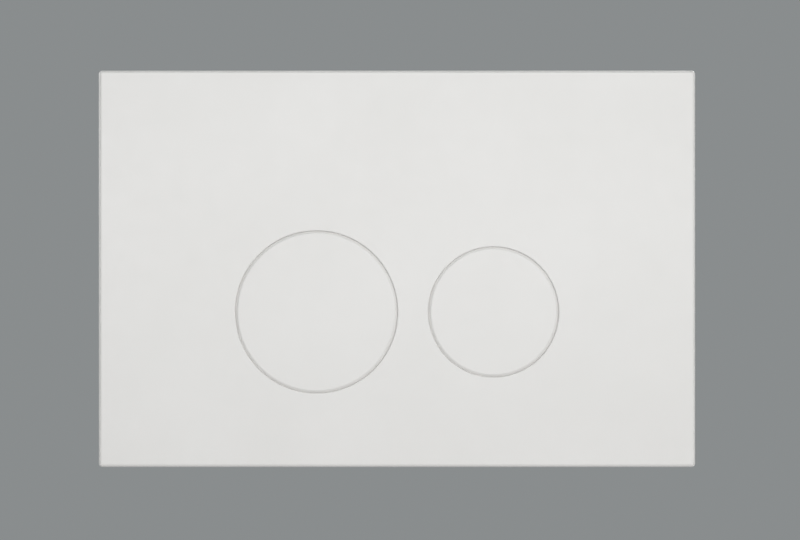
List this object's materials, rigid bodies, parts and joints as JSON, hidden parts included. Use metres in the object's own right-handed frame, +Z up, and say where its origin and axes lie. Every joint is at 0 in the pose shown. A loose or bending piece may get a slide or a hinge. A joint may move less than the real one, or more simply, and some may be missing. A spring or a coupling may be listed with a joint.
{
  "type": "flush button plate",
  "caption": "Rectangular white flush plate for a concealed cistern, with a large full-flush and a small half-flush round push button on sprung plungers and threaded push rods.",
  "frame": {"origin": "middle of the plate on the finished wall, which is the back of the plate's rim", "axes": "+X to the right along the plate's long side, +Y into the wall, +Z up"},
  "size_m": [0.246, 0.0825, 0.1634],
  "materials": {
    "white_gloss_plastic": "white moulded plastic, satin to gloss",
    "frame_plastic": "grey moulded plastic, matt",
    "carrier_plastic": "light grey moulded plastic, matt",
    "plunger_plastic": "natural low-friction plastic, satin",
    "rod_plastic": "natural plastic with a moulded thread",
    "pad_foam": "closed-cell foam",
    "spring_steel": "drawn stainless wire",
    "zinc_steel": "zinc-plated steel"
  },
  "bodies": {
    "plate_assembly": {"front_plate": "white_gloss_plastic", "mounting_frame": "frame_plastic", "button_carrier": "carrier_plastic", "left_fixing_stud": "zinc_steel", "right_fixing_stud": "zinc_steel", "left_stud_nut": "zinc_steel", "right_stud_nut": "zinc_steel", "left_stud_washer": "zinc_steel", "right_stud_washer": "zinc_steel", "full_flush_spring": "spring_steel", "half_flush_spring": "spring_steel"},
    "full_flush": {"full_flush_button": "white_gloss_plastic", "full_flush_stop_pads": "pad_foam", "full_flush_plunger": "plunger_plastic", "full_flush_push_rod": "rod_plastic", "full_flush_locknut": "rod_plastic"},
    "half_flush": {"half_flush_button": "white_gloss_plastic", "half_flush_stop_pads": "pad_foam", "half_flush_plunger": "plunger_plastic", "half_flush_push_rod": "rod_plastic", "half_flush_locknut": "rod_plastic"}
  },
  "joints": [
    {"name": "full_flush_press", "type": "slide", "parent": "plate_assembly", "child": "full_flush", "axis": [0, 1, 0], "range_m": [0, 0.006], "stiffness_N_per_m": 800, "springref_m": -0.005, "deforming": ["full_flush_spring"]},
    {"name": "half_flush_press", "type": "slide", "parent": "plate_assembly", "child": "half_flush", "axis": [0, 1, 0], "range_m": [0, 0.006], "stiffness_N_per_m": 800, "springref_m": -0.005, "deforming": ["half_flush_spring"]}
  ]
}
